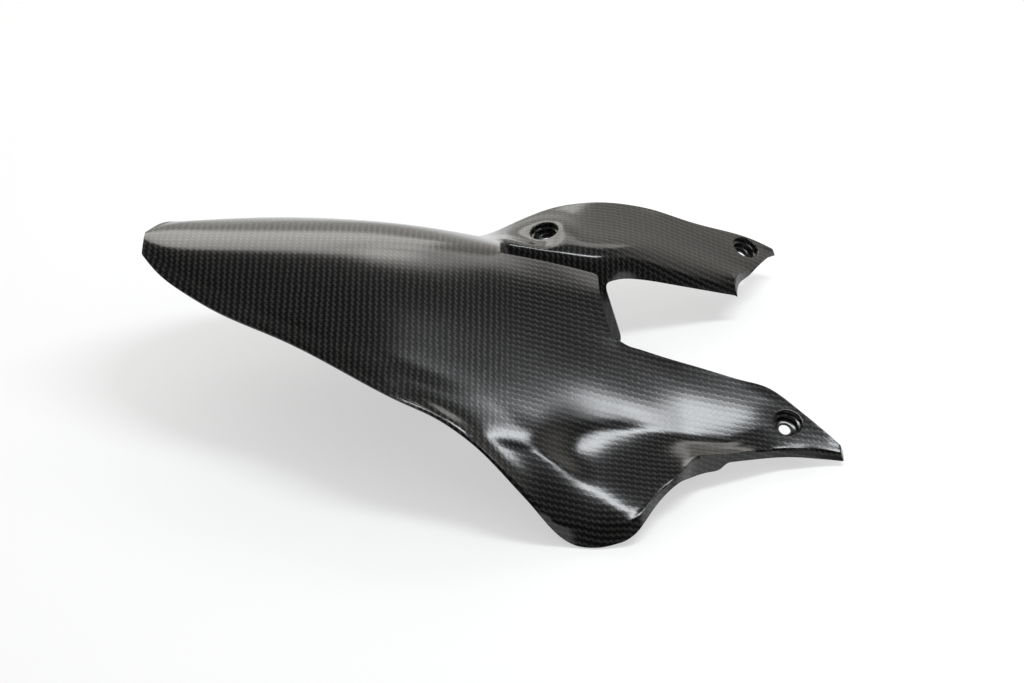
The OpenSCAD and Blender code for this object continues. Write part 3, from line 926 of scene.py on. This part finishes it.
def floor():
    z = cad_box[0][2] - FLOOR_GAP
    s = FLOOR_HALF
    mesh = bpy.data.meshes.new("floor")
    mesh.from_pydata([(-s, -s, z), (s, -s, z), (s, s, z), (-s, s, z)], [], [(0, 1, 2, 3)])
    obj = add_object("floor", mesh)
    material = bpy.data.materials.new("floor_white")
    g = Graph(nodes_of(material))
    bsdf = g.node("ShaderNodeBsdfPrincipled")
    bsdf.inputs["Base Color"].default_value = (0.95, 0.95, 0.945, 1)
    bsdf.inputs["Roughness"].default_value = 0.9
    bsdf.inputs["Specular IOR Level"].default_value = 0.1
    # the camera sees it half lit from within, so the shadows on it stay faint
    glow = g.node("ShaderNodeEmission")
    glow.inputs["Strength"].default_value = 1.0
    rays = g.node("ShaderNodeLightPath")
    both = g.node("ShaderNodeMixShader")
    g.link(g.math("MULTIPLY", rays.outputs["Is Camera Ray"], SELF_LIT), both.inputs[0])
    g.link(bsdf.outputs[0], both.inputs[1])
    g.link(glow.outputs[0], both.inputs[2])
    out = g.node("ShaderNodeOutputMaterial")
    g.link(both.outputs[0], out.inputs[0])
    mesh.materials.append(material)


def world():
    """White to the camera, a studio to glossy rays, and plain grey to the rest."""
    w = bpy.data.worlds.new("studio")
    bpy.context.scene.world = w
    w.use_nodes = True
    w.node_tree.nodes.clear()
    g = Graph(w.node_tree)
    direction = g.split(g.node("ShaderNodeTexCoord").outputs["Generated"])
    # a white backdrop stands behind the part and fades out above 33 degrees; the rest is dark
    height = g.ramp(direction[2], 0.55, 0.78, 1.0, 0.0)
    behind = g.ramp(direction[1], -0.25, 0.15, 0.0, 1.0)
    lit = g.math("MULTIPLY", height, behind)
    room = g.mix(lit, (0.02, 0.021, 0.024, 1), (0.92, 0.89, 0.83, 1))
    rays = g.node("ShaderNodeLightPath")
    seen = g.math("MAXIMUM", rays.outputs["Is Glossy Ray"], rays.outputs["Is Transmission Ray"])
    colour = g.mix(seen, (0.55, 0.55, 0.55, 1), room)
    colour = g.mix(rays.outputs["Is Camera Ray"], colour, (1, 1, 1, 1))
    back = g.node("ShaderNodeBackground")
    g.link(colour, back.inputs[0])
    out = g.node("ShaderNodeOutputWorld")
    g.link(back.outputs[0], out.inputs[0])


def softbox(name, place, target, width, height, watts, colour):
    """A rectangular lamp that faces the target, with its width along X; the camera doesn't see it."""
    light = bpy.data.lights.new(name, "AREA")
    light.shape = "RECTANGLE"
    light.size, light.size_y = width, height
    light.energy = watts
    light.color = colour
    obj = add_object(name, light)
    obj.location = place
    back = (Vector(place) - Vector(target)).normalized()
    side = Vector((1, 0, 0)) - back * back.x
    side.normalize()
    obj.rotation_euler = Matrix((side, back.cross(side), back)).transposed().to_euler()
    obj.visible_camera = False


def camera():
    back = np.array([0, -math.cos(ELEVATION), math.sin(ELEVATION)])
    data = bpy.data.cameras.new("photo_camera")
    data.lens = 85
    data.sensor_width = 36
    data.sensor_fit = "HORIZONTAL"
    data.clip_start = 0.05
    obj = add_object("photo_camera", data)
    obj.location = middle + back * DISTANCE
    obj.rotation_euler = Vector(-back).to_track_quat("-Z", "Y").to_euler()
    bpy.context.scene.camera = obj


floor()
world()
for name, place, width, height, watts, colour in LAMPS:
    target = middle + np.array([place[0] * AIM, 0, 0])
    softbox(name, middle + np.array(place), target, width, height, watts, colour)
camera()
bpy.context.scene.view_settings.view_transform = "Standard"
